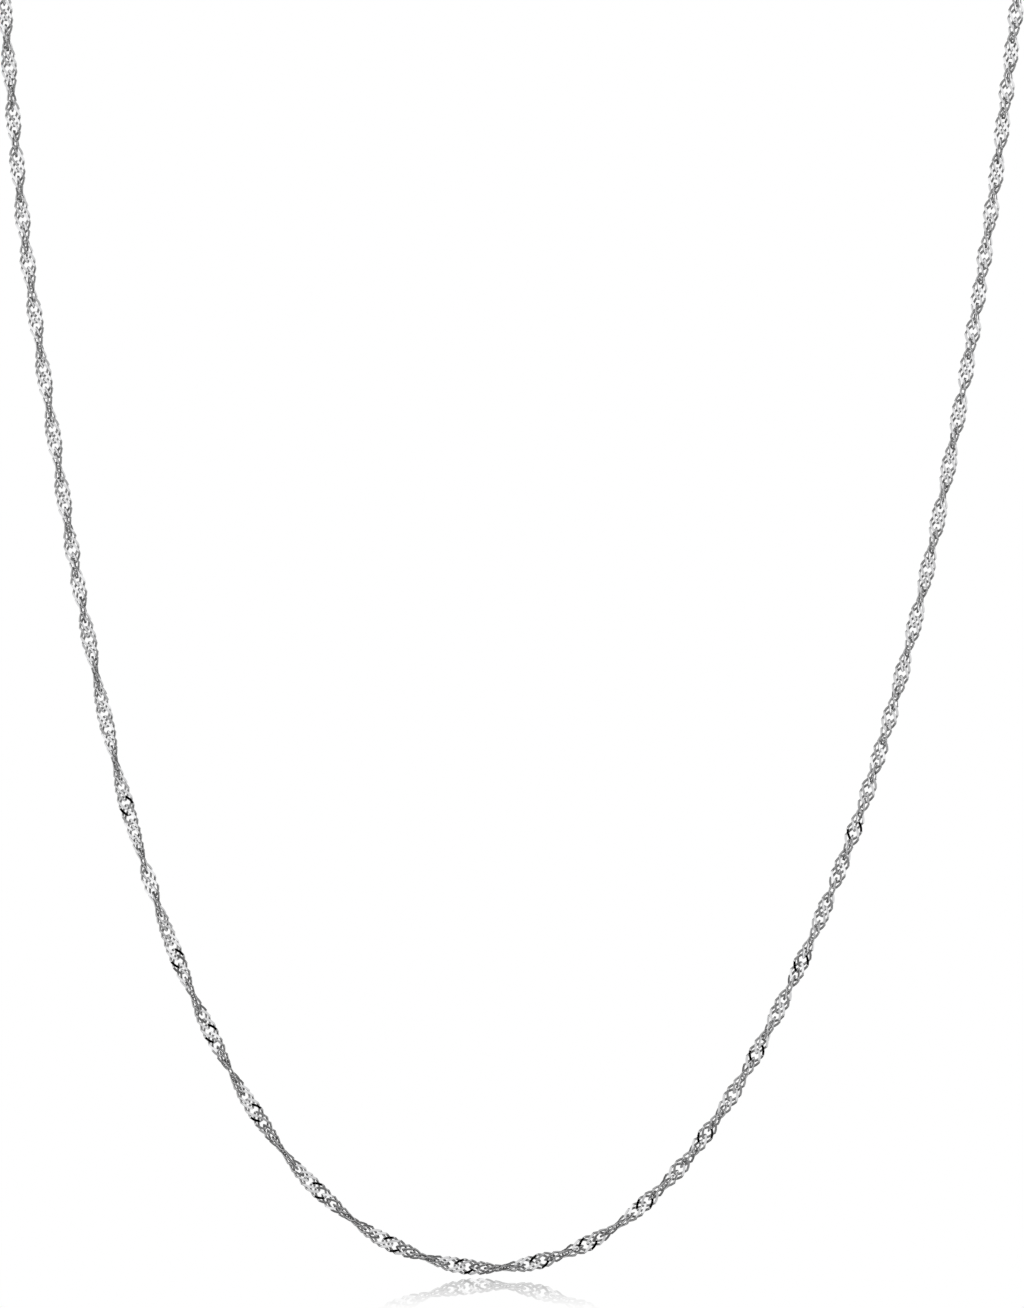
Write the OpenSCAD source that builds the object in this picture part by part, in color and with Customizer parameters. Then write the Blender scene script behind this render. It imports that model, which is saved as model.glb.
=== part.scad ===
// Singapore chain necklace, 18 inches round, closed by a spring ring clasp.
// The loop hangs flat in the XZ plane with its front toward -Y. The origin is the top of the
// loop, where the arch of the chain lies over a neck. All sizes are in millimetres.

/* [Chain] */
// Width of the twisted chain
chain_w = 1.5; // [1:0.1:2.2]
// Sides of the tube that the links fill
tube_sides = 8; // [8:1:12]
// Longest distance between two sections of the tube
tube_step = 6.4; // [5.5:0.1:9]
// Gap between an end of the tube and the end ring that its last link hooks into
tube_gap = 0.2; // [0.1:0.05:0.4]

/* [Spring ring clasp] */
// Outer diameter of the clasp
clasp_d = 5.5; // [5:0.1:8]
// Thickness of the clasp's round section
clasp_wire = 1.1; // [0.8:0.05:1.4]
// Thickness of the wire of the clasp's eye
eye_wire = 0.5; // [0.4:0.05:0.7]
// Depth to which the eye is soldered into the clasp
eye_solder = 0.15; // [0.1:0.05:0.2]
// Diameter of the thumb knob
knob_d = 0.7; // [0.5:0.05:0.8]
// Height of the thumb knob above the clasp
knob_h = 0.7; // [0.4:0.1:1.2]
// Direction of the thumb knob, from the free side of the clasp upward
knob_angle = 50; // [40:1:110]

/* [End rings] */
// Thickness of the wire of the end rings
ring_wire = 0.5; // [0.4:0.05:0.7]
// Room that an end ring leaves round the clasp's section
ring_play = 0.7; // [0.5:0.05:1.2]
// Room that the clasp's eye leaves round an end ring's wire
eye_play = 0.4; // [0.3:0.05:0.6]
// Gap between two pieces where they hang in each other
hang_gap = 0.1; // [0.05:0.01:0.15]

/* [Hidden] */
$fn = 48;
silver = [0.78, 0.78, 0.79];

// Hanging part of the loop, [x, z] from the left end of the arch down, round and up to its right end
HANGING_ROUTE = [
    [-48.5, -48.5], [-48.2, -55.0], [-47.2, -69.8], [-45.5, -88.4], [-42.8, -106.8], [-39.6, -125.2],
    [-35.3, -143.4], [-28.8, -160.8], [-24.3, -169.0], [-18.5, -176.4], [-11.0, -181.9], [-2.1, -184.0],
    [6.8, -181.8], [14.2, -176.2], [19.9, -168.8], [24.5, -160.6], [31.8, -143.5], [37.1, -125.7],
    [41.1, -107.4], [44.2, -89.0], [46.6, -70.5], [48.2, -55.0], [48.5, -48.5]
];
arch_r = HANGING_ROUTE[len(HANGING_ROUTE) - 1].x;
arch_half = PI * arch_r / 2;

// Fastening, laid out by distance along the arch from its top
ring_r = (clasp_wire + ring_play + ring_wire) / 2;
eye_r = (ring_wire + eye_play + eye_wire) / 2;
clasp_r = (clasp_d - clasp_wire) / 2;
eye_s = -(clasp_d / 2 - eye_solder + eye_r);
left_hook_s = eye_s - eye_r + eye_wire / 2 + hang_gap + ring_wire / 2;
right_hook_s = clasp_r - clasp_wire / 2 - hang_gap - ring_wire / 2;
left_ring_s = left_hook_s - ring_r;
right_ring_s = right_hook_s + ring_r;
tube_start_s = left_ring_s - ring_r - ring_wire / 2 - tube_gap;
tube_end_s = right_ring_s + ring_r + ring_wire / 2 + tube_gap;

function unit(v) = v / norm(v);

// Point of the arch at distance s from its top
function arch_point(s) = let (a = s / arch_half * 90) arch_r * [sin(a), cos(a) - 1];

// Points of the arch from distance s0 to s1, both ends included
function arch_points(s0, s1) =
    let (steps = ceil(abs(s1 - s0) / tube_step))
    [for (i = [0:steps]) arch_point(s0 + (s1 - s0) * i / steps)];

// Direction of a route at its point i: the two neighbouring chords, the nearer one counting more
function route_slope(route, i) =
    let (
        before = route[i] - route[i - 1],
        after = route[i + 1] - route[i],
        b = norm(before),
        a = norm(after)
    )
    (before * a / b + after * b / a) / (a + b);

// Point at share t of the cubic curve that joins route points i and i + 1
function route_point(route, i, t) =
    let (
        p = route[i],
        q = route[i + 1],
        span = norm(q - p),
        leaving = route_slope(route, i) * span,
        arriving = route_slope(route, i + 1) * span
    )
    p + (q - p) * t * t * (3 - 2 * t) + leaving * t * (1 - t) * (1 - t) - arriving * t * t * (1 - t);

// Points of a route between its second and its second last point, the last one left out
function curve_points(route) = [
    for (i = [1:len(route) - 3])
        let (steps = ceil(norm(route[i + 1] - route[i]) / tube_step))
        for (k = [0:steps - 1]) route_point(route, i, k / steps)
];

hanging_curve = concat(
    [arch_point(-arch_half + tube_step)], HANGING_ROUTE, [arch_point(arch_half - tube_step)]
);
centre_line = concat(
    arch_points(tube_start_s, -arch_half + tube_step),
    curve_points(hanging_curve),
    arch_points(arch_half, tube_end_s)
);

// Direction of travel of the centre line at its point i
function heading(i) =
    unit(centre_line[min(i + 1, len(centre_line) - 1)] - centre_line[max(i - 1, 0)]);

// Section of the tube at point i: a polygon of chain_w across flats, square to the heading
function tube_section(i) =
    let (
        d = heading(i),
        c = centre_line[i],
        corner_r = chain_w / 2 / cos(180 / tube_sides)
    )
    [
        for (k = [0:tube_sides - 1])
            let (a = (k + 0.5) * 360 / tube_sides, out = corner_r * cos(a))
            [c.x - d.y * out, corner_r * sin(a), c.y + d.x * out]
    ];

// Places children on the arch at distance s from its top, with X along the arch
module on_arch(s) {
    p = arch_point(s);
    translate([p.x, 0, p.y]) rotate([0, s / arch_half * 90, 0]) children();
}

// Round wire ring lying in the XY plane, r to the middle of its wire
module wire_ring(r, wire) {
    rotate_extrude() translate([r, 0]) circle(d = wire);
}

// Tube that the interlocked links fill, open at the fastening
module chain() {
    sections = len(centre_line);
    sides = [
        for (i = [0:sections - 2], k = [0:tube_sides - 1])
            let (a = i * tube_sides + k, b = i * tube_sides + (k + 1) % tube_sides)
            [a, b, b + tube_sides, a + tube_sides]
    ];
    first_cap = [[for (k = [tube_sides - 1:-1:0]) k]];
    last_cap = [[for (k = [0:tube_sides - 1]) (sections - 1) * tube_sides + k]];
    color(silver)
        polyhedron(
            points = [for (i = [0:sections - 1]) each tube_section(i)],
            faces = concat(sides, first_cap, last_cap)
        );
}

// Soldered ring that joins an end of the chain to the clasp, square to the clasp
module end_ring(s) {
    color(silver) on_arch(s) wire_ring(ring_r, ring_wire);
}

// Spring ring, its eye toward the left end ring, hung so that the eye lies on the arch
module clasp() {
    color(silver)
        translate([0, 0, arch_point(left_hook_s).y])
            rotate([90, 0, 0]) {
                wire_ring(clasp_r, clasp_wire);
                translate([eye_s, 0, 0]) wire_ring(eye_r, eye_wire);
                rotate([0, 0, knob_angle]) thumb_knob();
            }
}

// Round-ended knob that stands out of the clasp's section along X
module thumb_knob() {
    knob_r = knob_d / 2;
    tip = clasp_d / 2 + knob_h - knob_r;
    rotate([0, 90, 0])
        rotate_extrude() {
            translate([0, clasp_r]) square([knob_r, tip - clasp_r]);
            translate([0, tip]) intersection() {
                circle(r = knob_r);
                square(knob_r);
            }
        }
}

chain();
end_ring(left_ring_s);  // end_ring_left
clasp();
end_ring(right_ring_s);  // end_ring_right
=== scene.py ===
# %% [markdown]
# # A singapore chain necklace
# A singapore chain is a fine ribbon of small wire rings. Each ring is hooked into the next ring and into
# the next but one, and the whole ribbon is twisted about its length. The construction holds the necklace
# as four solids: a plain tube along the route of the chain, two end rings and a spring ring clasp. This
# script gives the rings and the clasp their finish and puts every link of the chain in the tube's place.

# %% Load the construction
import math

import bpy
import numpy as np
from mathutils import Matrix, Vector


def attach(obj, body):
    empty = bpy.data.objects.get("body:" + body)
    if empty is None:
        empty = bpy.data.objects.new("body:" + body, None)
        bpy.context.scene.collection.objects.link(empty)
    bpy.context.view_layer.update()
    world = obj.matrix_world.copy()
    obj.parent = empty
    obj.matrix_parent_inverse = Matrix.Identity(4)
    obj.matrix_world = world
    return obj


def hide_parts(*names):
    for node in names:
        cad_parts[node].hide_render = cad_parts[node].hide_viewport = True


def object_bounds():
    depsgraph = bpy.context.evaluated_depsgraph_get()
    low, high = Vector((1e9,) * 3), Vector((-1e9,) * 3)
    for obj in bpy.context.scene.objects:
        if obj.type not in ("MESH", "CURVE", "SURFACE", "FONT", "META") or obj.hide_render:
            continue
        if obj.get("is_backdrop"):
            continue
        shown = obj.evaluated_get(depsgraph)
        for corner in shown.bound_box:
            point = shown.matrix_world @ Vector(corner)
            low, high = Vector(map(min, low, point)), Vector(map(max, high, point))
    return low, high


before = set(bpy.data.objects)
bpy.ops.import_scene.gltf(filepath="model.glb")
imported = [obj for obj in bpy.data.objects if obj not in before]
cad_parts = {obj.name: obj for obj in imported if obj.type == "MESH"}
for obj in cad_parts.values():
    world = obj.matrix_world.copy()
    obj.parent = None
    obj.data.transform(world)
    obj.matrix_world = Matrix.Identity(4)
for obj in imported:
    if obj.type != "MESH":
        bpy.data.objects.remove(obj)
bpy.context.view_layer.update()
MM = 0.001
print("solids:", ", ".join(sorted(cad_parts)))

# %% [markdown]
# ## The route
# A hanging chain could be simulated, but a real one remembers how it was coiled and never hangs in the
# curve of the textbook. So the lower U is a few points read off the real curve, joined by a cubic, and the
# hidden arch above it is half a circle. Both are the same as in the construction, in metres.

# %% Points of the route, x and z
HANGING_ROUTE = np.array([
    (-0.0485, -0.0485), (-0.0482, -0.0550), (-0.0472, -0.0698), (-0.0455, -0.0884), (-0.0428, -0.1068),
    (-0.0396, -0.1252), (-0.0353, -0.1434), (-0.0288, -0.1608), (-0.0243, -0.1690), (-0.0185, -0.1764),
    (-0.0110, -0.1819), (-0.0021, -0.1840), (0.0068, -0.1818), (0.0142, -0.1762), (0.0199, -0.1688),
    (0.0245, -0.1606), (0.0318, -0.1435), (0.0371, -0.1257), (0.0411, -0.1074), (0.0442, -0.0890),
    (0.0466, -0.0705), (0.0482, -0.0550), (0.0485, -0.0485),
])
ARCH_R = HANGING_ROUTE[-1, 0]
ARCH_HALF = math.pi / 2 * ARCH_R


def arch_points(distance):
    """The circle of radius ARCH_R that has the origin as its top, by distance along it, to the right."""
    angle = np.asarray(distance) / ARCH_R
    return ARCH_R * np.stack([np.sin(angle), np.cos(angle) - 1], axis=-1)


def smooth_curve(points, steps):
    """A cubic through the points, from the second to the last but one. The slope at a point is the mean of
    the directions of the two neighbouring chords, in which the nearer chord counts more."""
    chord = np.diff(points, axis=0)
    length = np.linalg.norm(chord, axis=1)[:, None]
    b, a = length[:-1], length[1:]
    slope = (chord[:-1] * a / b + chord[1:] * b / a) / (a + b)
    p, q, span = points[1:-2, None], points[2:-1, None], length[1:-1, None]
    leaving, arriving = slope[:-1, None] * span, slope[1:, None] * span
    t = np.linspace(0, 1, steps, endpoint=False)[None, :, None]
    curve = p + (q - p) * t * t * (3 - 2 * t) + leaving * t * (1 - t) ** 2 - arriving * t * t * (1 - t)
    return np.vstack([curve.reshape(-1, 2), points[-2:-1]])


print(len(HANGING_ROUTE), "points for the lower U")

# %% The route as a ruler
# Dense points from the top of the arch down the left side, round the bottom and up the right side, with
# their distance along the loop. One more point of the arch at either end of the U gives it its first and
# last slope.
LEAD = 6.4 * MM  # distance of that point from the end of the arch
STEPS_A_CHORD = 60
STEPS_OF_ARCH = 800
guides = np.vstack([arch_points([-ARCH_HALF + LEAD]), HANGING_ROUTE, arch_points([ARCH_HALF - LEAD])])
hanging = smooth_curve(guides, STEPS_A_CHORD)
arch_distance = np.linspace(0, ARCH_HALF, STEPS_OF_ARCH)
route = np.vstack([arch_points(-arch_distance)[:-1], hanging[:-1], arch_points(arch_distance[::-1])])
ruler = np.concatenate([[0], np.cumsum(np.linalg.norm(np.diff(route, axis=0), axis=1))])
ruler_heading = np.stack([np.gradient(route[:, 0], ruler), np.gradient(route[:, 1], ruler)], 1)
LOOP = ruler[-1]
LOWEST = ruler[np.argmin(route[:, 1])]


def on_route(distance):
    """The point, the heading and the direction to the inside of the loop, each as rows of x, y, z. The
    inside is the heading turned a quarter round Y."""
    x, z, hx, hz = (np.interp(distance, ruler, c) for c in (*route.T, *ruler_heading.T))
    size, none = np.hypot(hx, hz), np.zeros_like(x)
    hx, hz = hx / size, hz / size
    return np.stack([x, none, z], 1), np.stack([hx, none, hz], 1), np.stack([-hz, none, hx], 1)


print(f"the loop is {LOOP / MM:.1f} mm long and its lowest point lies at {route[:, 1].min() / MM:.1f} mm")

# %% [markdown]
# ## The twist
# The maker turns the hooked ribbon about its length until it stays twisted. Worn chain is never even: some
# stretches have been pulled slack and others tight. A constant pitch would look like a drill. Here the
# twist is a short list of places where the ribbon faces the front, with the number of half turns made
# since the first, and the same cubic runs between them. Two kinks in the left strand turn faster than what
# is round them. They are held by rows with parts of a half turn, one before the kink and one or two after
# it. The hidden arch keeps a steady pitch.

# %% Half turns along the chain
FIRST_LINK = 6.19 * MM  # on the ruler, where the first link hooks into the left end ring
LAST_LINK = LOOP - 4.095 * MM  # where the last one hooks into the right end ring
FACING = np.array([
    (FIRST_LINK - LOWEST, -19), (-0.1331, 0), (-0.1190, 3), (-0.1050, 6), (-0.0938, 8), (-0.0877, 9),
    (-0.0804, 10.7), (-0.0782, 11.3), (-0.0711, 12.5), (-0.0667, 13), (-0.0583, 14), (-0.0521, 14.7),
    (-0.0499, 15.3), (-0.0438, 16), (-0.0354, 17), (-0.0270, 18), (-0.0178, 19), (-0.0095, 20),
    (-0.0026, 21), (0.0050, 22), (0.0098, 23), (0.0159, 24), (0.0246, 26), (0.0336, 28), (0.0434, 30),
    (0.0530, 32), (0.0569, 33), (0.0606, 34), (0.0718, 37), (0.0819, 39), (0.0915, 41), (0.1013, 43),
    (0.1048, 44), (0.1119, 46), (0.1234, 49), (0.1341, 52), (LAST_LINK - LOWEST, 72),
])


def half_turns(distance, rows):
    """Half turns at distances from the lowest point: a cubic in each stretch between rows of distance and
    half turns, whose slope at a row is the mean of the pitches beside it, in which the nearer row counts
    more."""
    at, turns = rows.T
    step = np.diff(at)
    pitch = np.diff(turns) / step
    b, a = step[:-1], step[1:]
    slope = np.concatenate([pitch[:1], (pitch[:-1] * a + pitch[1:] * b) / (a + b), pitch[-1:]])
    i = np.clip(np.searchsorted(at, distance) - 1, 0, len(step) - 1)
    t, span = (distance - at[i]) / step[i], step[i]
    rise = turns[i] + (turns[i + 1] - turns[i]) * t * t * (3 - 2 * t)
    return rise + slope[i] * span * t * (1 - t) ** 2 - slope[i + 1] * span * t * t * (1 - t)


print(f"{FACING[-2, 1] - FACING[1, 1]:.0f} half turns between the first facing in view and the last")

# %% [markdown]
# Links hook in pairs and don't sit quite evenly, so every second one is moved a little. A link that faces
# the camera squarely mirrors the dark round of the lens and flashes black. One link does so or none, for
# its neighbours are already turned too far. So the place of each facing is moved by less than half a link:
# onto the nearest link where the real chain flashes, and between two links everywhere else. The rows that
# hold the kinks stay where they are.

# %% Places of the links, and which of them flash
LINKS = 630
PAIR_SHIFT = 0.06 * MM  # every second link is moved on by this, and the others back
SEARCH_STEPS = 40000
FLASHES = (14, 16, 17, 18, 19, 20, 21, 22, 23, 24, 26, 28, 30, 33)
number = np.arange(LINKS)
place = np.linspace(FIRST_LINK, LAST_LINK, LINKS) + np.where(number % 2, PAIR_SHIFT, -PAIR_SHIFT) - LOWEST
between = (place[1:] + place[:-1]) / 2
lobe = np.arange(FACING[1, 1], FACING[-2, 1] + 1)
fine = np.linspace(place[0], place[-1], SEARCH_STEPS)
wanted = np.interp(lobe, half_turns(fine, FACING), fine)[:, None]
on_ring = place[np.abs(place - wanted).argmin(axis=1)]
off_ring = between[np.abs(between - wanted).argmin(axis=1)]
facing = np.stack([np.where(np.isin(lobe, FLASHES), on_ring, off_ring), lobe], 1)
kinks = FACING[FACING[:, 1] % 1 > 0]
rows = np.vstack([FACING[:1], facing, kinks, FACING[-1:]])
angle = math.pi * half_turns(place, rows[rows[:, 0].argsort()])[:, None]
print(f"{len(lobe)} facings in view, {len(FLASHES)} of them flash")

# %% [markdown]
# ## One link
# A link starts as a round wire ring. Once it is hooked and twisted it is no longer flat: it bends like a
# saddle, two quarters forward and two back, and it comes out longer than wide. The finished chain is passed
# under a diamond tool, which shaves the forward and backward quarters to broad mirrors. They are what makes
# the chain glitter. Between them the wire's colour is painted darker as shade, so each bright stroke has a
# painted dark line beside it. The ring is a six sided profile carried along the saddle, and the cut
# moves the profile's points down to a plane, so the mirrors are truly flat.

# %% The saddle ring with its four mirrors
LINK_HALF_LENGTH = 0.905 * MM
LINK_HALF_WIDTH = 0.64 * MM
WIRE_R = 0.114 * MM
PINCH = 0.12  # how much nearer the middle the four quarters are than those of an ellipse
BEND = 0.12 * MM  # how far the quarters stand forward and back
CROSSING = 5  # how quickly the wire crosses over between two quarters
MIRROR_LEVEL = 0.154 * MM  # distance of the mirrors from the link's middle plane
HALF = (10, 35, 60, 84, 96, 120, 145, 170)  # where each half of the ring has its points, in degrees
LINK_SIDES, WIRE_SIDES = 16, 6
SHADE_FADE_FROM = 0.068 * MM  # distance from the middle plane where the painted shade starts to fade
SHADE_FADE_TO = 0.15 * MM  # and where it is gone


def link_shape():
    """The link's points in its own axes (along, across, out). Round the ring by angle q the wire's middle
    is (A cos q, B sin q) times 1 - PINCH sin(2q) squared, with A the half length and B the half width, and
    stands out by -BEND tanh(CROSSING sin 2q) / tanh CROSSING. The profile stands on the ring's outward
    normal and on the direction square to it. Where a point of the profile lies beyond the mirror's plane,
    it goes to the edge in which that plane meets the round wire."""
    q = np.radians(np.add.outer([0, 180], HALF)).ravel()
    round_ring = 1 - PINCH * np.sin(2 * q) ** 2
    stand = -BEND * np.tanh(CROSSING * np.sin(2 * q)) / math.tanh(CROSSING)
    middle = np.stack([
        LINK_HALF_LENGTH * np.cos(q) * round_ring, LINK_HALF_WIDTH * np.sin(q) * round_ring, stand
    ], 1)
    along = np.roll(middle, -1, axis=0) - np.roll(middle, 1, axis=0)
    along /= np.linalg.norm(along, axis=1)[:, None]
    normal = np.cross(along, [0.0, 0.0, 1.0])
    normal /= np.linalg.norm(normal, axis=1)[:, None]
    lift = np.cross(normal, along)
    corner = np.arange(WIRE_SIDES) * 2 * math.pi / WIRE_SIDES
    shape = middle[:, None] + WIRE_R * (
        np.cos(corner)[None, :, None] * normal[:, None] + np.sin(corner)[None, :, None] * lift[:, None]
    )
    side = np.sign(np.sin(corner).round(6))[None, :]
    beyond = side * shape[..., 2] > MIRROR_LEVEL
    edge = np.sqrt(np.maximum(WIRE_R**2 - (MIRROR_LEVEL - np.abs(middle[:, 2:])) ** 2, 0))
    cut = middle[:, None] + (np.sign(np.cos(corner))[None, :] * edge)[..., None] * normal[:, None]
    cut[..., 2] = side * MIRROR_LEVEL
    return np.where(beyond[..., None], cut, shape), beyond


link, beyond = link_shape()
ring_next, wire_next = np.roll(np.arange(LINK_SIDES), -1), np.roll(np.arange(WIRE_SIDES), -1)
index = np.arange(LINK_SIDES * WIRE_SIDES).reshape(LINK_SIDES, WIRE_SIDES)
link_faces = np.stack(
    [index, index[ring_next], index[ring_next][:, wire_next], index[:, wire_next]], axis=-1
).reshape(-1, 4)
link_mirror = beyond.ravel()[link_faces].all(axis=1)
# How far each point lies out of the painted shade: dark near the link's middle plane, fully bright towards
# the mirrors.
link_brightness = np.clip((np.abs(link[..., 2]).ravel() - SHADE_FADE_FROM) / (SHADE_FADE_TO - SHADE_FADE_FROM), 0, 1)
print(f"a link has {len(link_faces)} faces, {link_mirror.sum()} of them on its mirrors")

# %% [markdown]
# ## The chain
# Links could be placed one by one with an array modifier, but each one has its own twist. So the whole
# chain is worked out at once: the link's points times the axes of every place on the route. The mesh also
# says which faces are mirrors and how far each point lies out of the painted shade, for the silver to read.

# %% All links at once
centre, heading, inward = on_route(place + LOWEST)
front = np.array([0.0, -1.0, 0.0])
across = np.cos(angle) * inward + np.sin(angle) * front
out = np.cos(angle) * front - np.sin(angle) * inward
points = (
    centre[:, None]
    + link[..., 0].ravel()[None, :, None] * heading[:, None]
    + link[..., 1].ravel()[None, :, None] * across[:, None]
    + link[..., 2].ravel()[None, :, None] * out[:, None]
)
faces = link_faces[None] + (number * link_faces.max() + number)[:, None, None]


def mesh_piece(name, points, faces, smooth):
    """A mesh object at the origin from rows of points and of face corners, smooth where smooth is true."""
    mesh = bpy.data.meshes.new(name)
    mesh.from_pydata(points.reshape(-1, 3).tolist(), [], faces.reshape(-1, faces.shape[-1]).tolist())
    mesh.polygons.foreach_set("use_smooth", np.full(len(mesh.polygons), smooth))
    piece = bpy.data.objects.new(name, mesh)
    bpy.context.scene.collection.objects.link(piece)
    return piece


def all_links(name, points, faces):
    """The whole chain as one mesh, with the attribute "mirror" of its faces and an attribute of its points
    that says how far they lie out of the painted shade.
    """
    piece = mesh_piece(name, points, faces, ~np.tile(link_mirror, LINKS))
    for attribute, domain, values in (("mirror", "FACE", link_mirror), ("out_of_shade", "POINT", link_brightness)):
        made = piece.data.attributes.new(attribute, "FLOAT", domain)
        made.data.foreach_set("value", np.tile(values, LINKS).astype(np.float32))
    return piece


chain_links = all_links("chain_links", points, faces)
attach(chain_links, "root")
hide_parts("chain")
print(f"{LINKS} links, {np.diff(place).mean() / MM:.3f} mm apart, {2 * len(link_faces) * LINKS} triangles")

# %% [markdown]
# ## Polished silver
# Polished silver is nearly white and almost a mirror. What tells it from chrome is its wear: the drawn
# wire keeps faint marks that spread a reflection, while the shaved faces stay sharp. The recesses are
# painted darker as shade. An image of scratches would repeat itself, so noise on the object's own
# coordinates does the work.
# It changes the roughness in patches and tips the surface by a few thousandths of a millimetre.

# %% Silver material


def node(tree, kind, **values):
    """Adds a node and sets its input sockets by name, or its own settings where no socket has the name."""
    made = tree.nodes.new(kind)
    for key, value in values.items():
        if key in made.inputs:
            made.inputs[key].default_value = value
        else:
            setattr(made, key, value)
    return made


def from_to(low, high, from_level, to_level):
    """The sockets of a node that turns values between low and high into from_level to to_level."""
    return {"From Min": low, "From Max": high, "To Min": from_level, "To Max": to_level}


SILVER = (0.90, 0.90, 0.91, 1)
# the bright silver where no shade is painted
UNSHADED_SILVER = (0.92, 0.92, 0.93, 1)
PAINTED_SHADE_LEVEL = 0.41  # painted shade: how much light the wire gives back near the middle plane, where it is painted darkest
NOISE_LOW, NOISE_HIGH = 0.3, 0.7  # most of a noise lies between these


def silver(name, mark_size, mark_depth, smoothest, roughest, mirror_roughness=None):
    """Silver whose roughness goes from smoothest to roughest in patches of five mark sizes, with a bump of
    mark_depth. With mirror_roughness, the part with the attribute "mirror" takes that roughness and no
    bump, and the colour goes from painted shade to bright silver with how far a point lies out of that
    shade."""
    material = bpy.data.materials.new(name)
    material.use_nodes = True
    tree = material.node_tree
    tree.nodes.clear()
    shader = node(tree, "ShaderNodeBsdfPrincipled", Metallic=1.0)
    shader.inputs["Base Color"].default_value = SILVER
    output = node(tree, "ShaderNodeOutputMaterial")
    tree.links.new(shader.outputs["BSDF"], output.inputs["Surface"])
    coordinates = node(tree, "ShaderNodeTexCoord")
    patches = node(tree, "ShaderNodeTexNoise", Scale=0.2 / mark_size, Detail=3.0)
    marks = node(tree, "ShaderNodeTexNoise", Scale=1 / mark_size, Detail=4.0, Roughness=0.6)
    rough = node(tree, "ShaderNodeMapRange", **from_to(NOISE_LOW, NOISE_HIGH, smoothest, roughest))
    bump = node(tree, "ShaderNodeBump", Strength=1.0, Distance=mark_depth)
    for noise in (patches, marks):
        tree.links.new(coordinates.outputs["Object"], noise.inputs["Vector"])
    tree.links.new(patches.outputs["Fac"], rough.inputs["Value"])
    tree.links.new(marks.outputs["Fac"], bump.inputs["Height"])
    tree.links.new(bump.outputs["Normal"], shader.inputs["Normal"])
    roughness = rough.outputs["Result"]
    if mirror_roughness is not None:
        shaved = node(tree, "ShaderNodeAttribute", attribute_name="mirror")
        choose = node(tree, "ShaderNodeMix", data_type="FLOAT")
        choose.inputs["B"].default_value = mirror_roughness
        tree.links.new(shaved.outputs["Fac"], choose.inputs["Factor"])
        tree.links.new(roughness, choose.inputs["A"])
        roughness = choose.outputs["Result"]
        drawn = node(tree, "ShaderNodeMath", operation="SUBTRACT")
        drawn.inputs[0].default_value = 1.0
        tree.links.new(shaved.outputs["Fac"], drawn.inputs[1])
        tree.links.new(drawn.outputs[0], bump.inputs["Strength"])
        # Painted shade: the wire is darkened towards the chain's middle plane, where links lie in each
        # other's shade.
        brightness_input = node(tree, "ShaderNodeAttribute", attribute_name="out_of_shade")
        shade_mix = node(tree, "ShaderNodeMix", data_type="RGBA")
        # A mix node has an A, a B and a Result for each kind of value. For colours they are 6, 7 and 2.
        shade_mix.inputs[6].default_value = (PAINTED_SHADE_LEVEL, PAINTED_SHADE_LEVEL, PAINTED_SHADE_LEVEL, 1)
        shade_mix.inputs[7].default_value = UNSHADED_SILVER
        tree.links.new(brightness_input.outputs["Fac"], shade_mix.inputs[0])
        tree.links.new(shade_mix.outputs[2], shader.inputs["Base Color"])
    tree.links.new(roughness, shader.inputs["Roughness"])
    return material


link_silver = silver("silver_links", 0.05 * MM, 0.001 * MM, 0.05, 0.12, mirror_roughness=0.02)
chain_links.data.materials.append(link_silver)
ring_silver = silver("silver_fastening", 0.2 * MM, 0.003 * MM, 0.05, 0.16)
for name in ("end_ring_left", "clasp", "end_ring_right"):
    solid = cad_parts[name]
    solid.data.materials.clear()
    solid.data.materials.append(ring_silver)
print("finishes:", ", ".join(m.name for m in bpy.data.materials if m.name.startswith("silver")))

# %% [markdown]
# ## The studio
# Metal has no colour of its own to show: it shows the room. Photographers build the room for it out of
# white panels and black cards, and so does this scene. The camera comes first, then a world that lights
# the necklace evenly, and then a shell of panels that only reflections see.

# %% Camera
CAMERA_DISTANCE = 0.55
VIEW_CENTRE = (-0.00005, -0.1266)  # x and z of the picture's middle
VIEW_HEIGHT = 0.12224  # of the picture, at the necklace
camera_data = bpy.data.cameras.new("camera")
camera = bpy.data.objects.new("camera", camera_data)
bpy.context.scene.collection.objects.link(camera)
camera_data.lens = camera_data.sensor_width * CAMERA_DISTANCE / VIEW_HEIGHT
camera_data.clip_start, camera_data.clip_end = 0.01, 20
camera.location = (VIEW_CENTRE[0], -CAMERA_DISTANCE, VIEW_CENTRE[1])
camera.rotation_euler = (math.pi / 2, 0, 0)
bpy.context.scene.camera = camera
bpy.context.scene.view_settings.view_transform = "Standard"
print(f"lens {camera_data.lens:.0f} mm at {CAMERA_DISTANCE} m")

# %% World
world = bpy.data.worlds.new("studio_white")
world.use_nodes = True
world.node_tree.nodes["Background"].inputs["Color"].default_value = (1, 1, 1, 1)
world.node_tree.nodes["Background"].inputs["Strength"].default_value = 1.0
bpy.context.scene.world = world
print("world:", world.name)


# %% Tools for lights
def emission_material(name):
    """An empty material with its tree, its emission shader and its output."""
    material = bpy.data.materials.new(name)
    material.use_nodes = True
    tree = material.node_tree
    tree.nodes.clear()
    light, output = node(tree, "ShaderNodeEmission"), node(tree, "ShaderNodeOutputMaterial")
    tree.links.new(light.outputs["Emission"], output.inputs["Surface"])
    material.cycles.emission_sampling = "NONE"
    return material, tree, light, output


def math_node(tree, operation, *values):
    """A math node on values or outputs."""
    made = node(tree, "ShaderNodeMath", operation=operation)
    for socket, value in zip(made.inputs, values):
        if isinstance(value, bpy.types.NodeSocket):
            tree.links.new(value, socket)
        else:
            socket.default_value = value
    return made.outputs[0]


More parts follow.
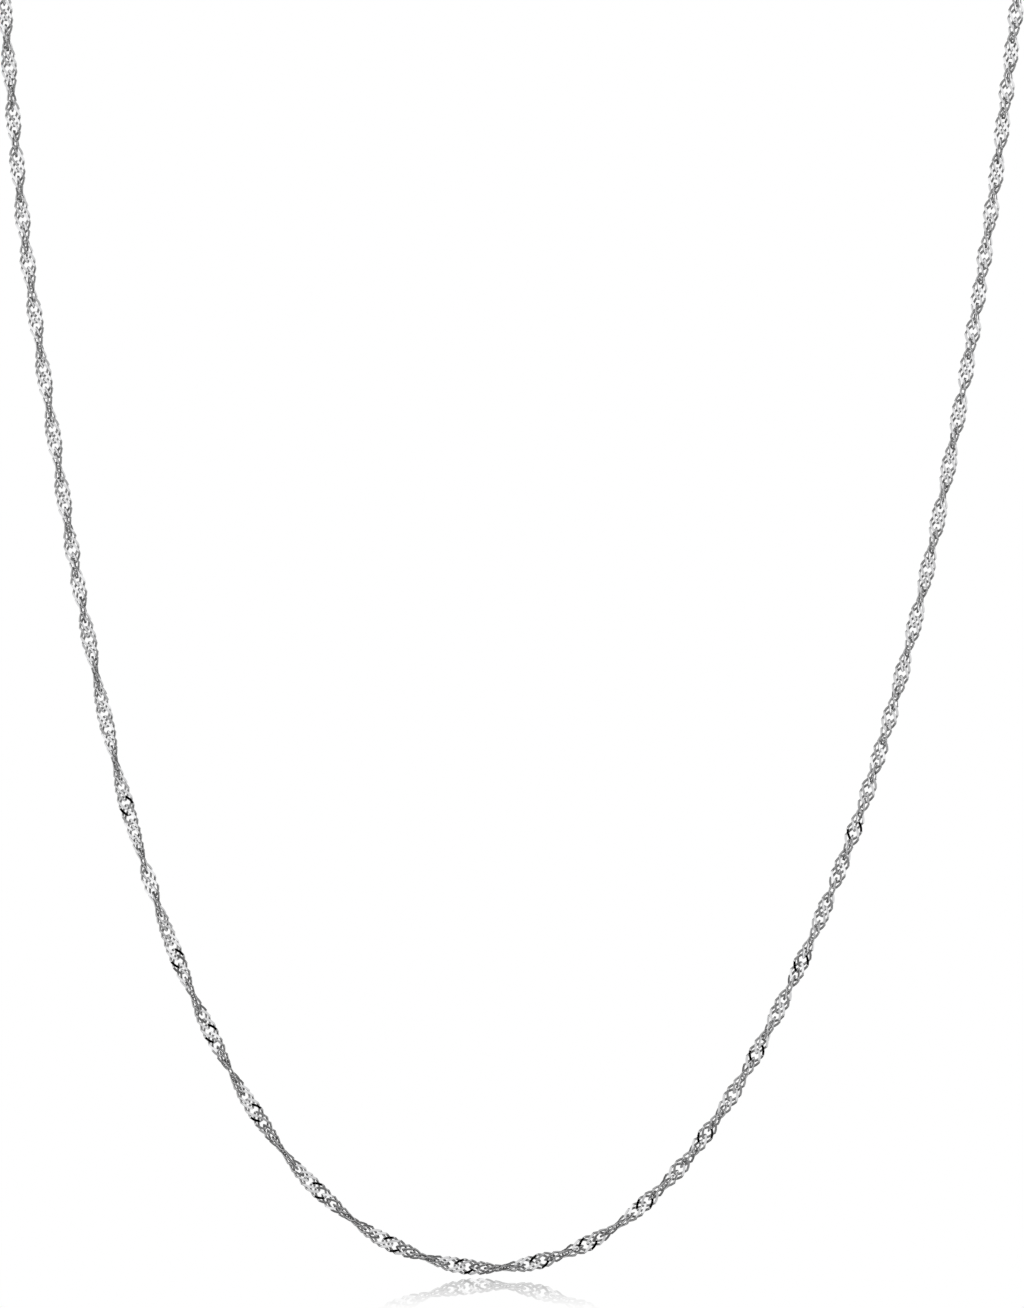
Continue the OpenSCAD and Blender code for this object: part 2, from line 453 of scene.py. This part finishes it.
def ramp(tree, value, low, high, from_level=0.0, to_level=1.0):
    """A soft step from one level to another while the value goes from low to high."""
    levels = from_to(low, high, from_level, to_level)
    step = node(tree, "ShaderNodeMapRange", interpolation_type="SMOOTHSTEP", **levels)
    tree.links.new(value, step.inputs["Value"])
    return step.outputs["Result"]


def sphere(radius, rings=24, sides=48):
    """Rows of points of a sphere about the origin, by polar angle and by angle round Z."""
    polar, turn = np.meshgrid(
        np.linspace(0, math.pi, rings), np.arange(sides) * 2 * math.pi / sides, indexing="ij"
    )
    points = radius * np.stack(
        [np.sin(polar) * np.cos(turn), np.sin(polar) * np.sin(turn), np.cos(polar)], -1
    )
    i = np.arange(rings * sides).reshape(rings, sides)
    j = np.roll(i, -1, axis=1)
    return points, np.stack([i[:-1], i[1:], j[1:], j[:-1]], -1)


print("tools for lights ready")

# %% [markdown]
# Each row of the panels below is a soft-edged rectangle on the shell, placed by its azimuth from the
# camera's side, positive to the right, and by its height over the horizon, both in degrees. Later rows lie
# over earlier ones. The pale bands round the horizon and the brighter ones low at both sides are the white
# table and walls, the big ones above are the soft boxes, and the small black card is the dark round of the
# lens: it gives the links that face the camera their black strokes.

# %% Shell of panels
SHELL_R = 4.0
DARK_ROOM = 0.12  # level where there is no panel
PANELS = [
    # azimuth, elevation, half width, half height, soft edge, level
    (0, 52, 85, 32, 10, 0.72),       # upper front
    (-42, 38, 22, 10, 8, 1.00),      # soft box left
    (-30, 20, 38, 6, 6, 0.98),       # strip light below it
    (36, 21, 24, 6, 6, 0.78),        # its dimmer right half
    (0, 5, 130, 11, 8, 0.70),        # horizon band in front
    (-46, 3, 18, 8, 6, 0.98),        # brighter left of it
    (-2, 11, 9, 5, 6, 0.92),         # and above the lens
    (38, 8, 14, 9, 6, 0.90),
    (66, 2, 14, 9, 8, 0.35),         # gap
    (10, -44, 85, 10, 8, 0.62),      # floor in front
    (-32, -42, 20, 9, 8, 0.95),      # its brighter left
    (14, -46, 18, 12, 8, 0.32),      # and the shade before the camera
    (-90, -14, 38, 14, 8, 0.80),     # low left
    (-48, -16, 14, 10, 8, 0.95),
    (100, -16, 50, 16, 8, 0.76),     # low right
    (130, -10, 26, 12, 8, 1.05),
    (36, -7, 10, 7, 8, 0.80),
    (12, -19, 30, 8, 8, 0.25),       # dim low front
    (-2, -3, 11, 8, 3, 0.0),         # black card
]
shell = mesh_piece("studio_shell", *sphere(SHELL_R), True)
shell_material, tree, light, _ = emission_material("studio_shell")
shell.data.materials.append(shell_material)
shell.visible_camera = shell.visible_diffuse = shell.visible_shadow = False
shell.visible_transmission = shell.visible_volume_scatter = False
shell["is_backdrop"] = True
coordinates = node(tree, "ShaderNodeTexCoord")
unit = node(tree, "ShaderNodeVectorMath", operation="NORMALIZE")
parts = node(tree, "ShaderNodeSeparateXYZ")
tree.links.new(coordinates.outputs["Object"], unit.inputs[0])
tree.links.new(unit.outputs[0], parts.inputs[0])
aside, depth, up = parts.outputs
toward_camera = math_node(tree, "MULTIPLY", depth, -1.0)
azimuth = math_node(tree, "DEGREES", math_node(tree, "ARCTAN2", aside, toward_camera))
elevation = math_node(tree, "DEGREES", math_node(tree, "ARCSINE", up))
level = DARK_ROOM
for panel_azimuth, panel_elevation, half_width, half_height, edge, panel_level in PANELS:
    turned = math_node(tree, "WRAP", math_node(tree, "SUBTRACT", azimuth, panel_azimuth), 180, -180)
    across = math_node(tree, "ABSOLUTE", turned)
    along = math_node(tree, "ABSOLUTE", math_node(tree, "SUBTRACT", elevation, panel_elevation))
    inside = math_node(
        tree,
        "MULTIPLY",
        ramp(tree, across, half_width - edge / 2, half_width + edge / 2, 1.0, 0.0),
        ramp(tree, along, half_height - edge / 2, half_height + edge / 2, 1.0, 0.0),
    )
    overlaid = node(tree, "ShaderNodeMix", data_type="FLOAT")
    tree.links.new(inside, overlaid.inputs["Factor"])
    if isinstance(level, bpy.types.NodeSocket):
        tree.links.new(level, overlaid.inputs["A"])
    else:
        overlaid.inputs["A"].default_value = level
    overlaid.inputs["B"].default_value = panel_level
    level = overlaid.outputs["Result"]
tree.links.new(level, light.inputs["Strength"])
print(f"{len(PANELS)} panels round the necklace")

# %% [markdown]
# ## The floor
# The necklace hangs just over a glossy white table. It mirrors the lowest links and fades within a few
# centimetres. A real mirror would show the dark parts of the shell as well, so the table is plain white and
# lets a mirrored copy of the links show through, less and less with the distance from the chain's plane.

# %% Floor
FLOOR_Z = -0.1848
FLOOR_HALF = 3
MIRROR_START = 0.54  # share of the mirrored links that shows in the chain's own plane
MIRROR_REACH = 0.031  # distance from that plane at which none shows
corners = FLOOR_HALF * np.array([(-1, -1, 0), (1, -1, 0), (1, 1, 0), (-1, 1, 0)]) + (0, 0, FLOOR_Z)
floor = mesh_piece("studio_floor", corners, np.array([[0, 1, 2, 3]]), False)
floor_material, tree, light, output = emission_material("studio_floor")
light.inputs["Strength"].default_value = 1.0
clear = node(tree, "ShaderNodeBsdfTransparent")
mix = node(tree, "ShaderNodeMixShader")
coordinates, parts = node(tree, "ShaderNodeTexCoord"), node(tree, "ShaderNodeSeparateXYZ")
tree.links.new(coordinates.outputs["Object"], parts.inputs[0])
off = math_node(tree, "ABSOLUTE", parts.outputs["Y"])
share = ramp(tree, off, 0.0, MIRROR_REACH, MIRROR_START, 0.0)
tree.links.new(share, mix.inputs[0])
tree.links.new(light.outputs["Emission"], mix.inputs[1])
tree.links.new(clear.outputs["BSDF"], mix.inputs[2])
tree.links.new(mix.outputs[0], output.inputs["Surface"])
floor.data.materials.append(floor_material)
floor.visible_glossy = floor.visible_diffuse = floor.visible_shadow = False
floor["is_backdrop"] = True

mirrored = all_links("floor_reflection", points * (1, 1, -1) + (0, 0, 2 * FLOOR_Z), faces[..., ::-1])
mirrored.data.materials.append(link_silver)
mirrored.visible_glossy = mirrored.visible_diffuse = mirrored.visible_shadow = False
mirrored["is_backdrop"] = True
print(f"the floor lies {(route[:, 1].min() - FLOOR_Z) / MM:.1f} mm under the middle of the lowest link")

# %% Sizes and finish
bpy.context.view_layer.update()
low, high = ([f"{v / MM:.2f}" for v in corner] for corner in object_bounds())
print("box from", *low, "to", *high)
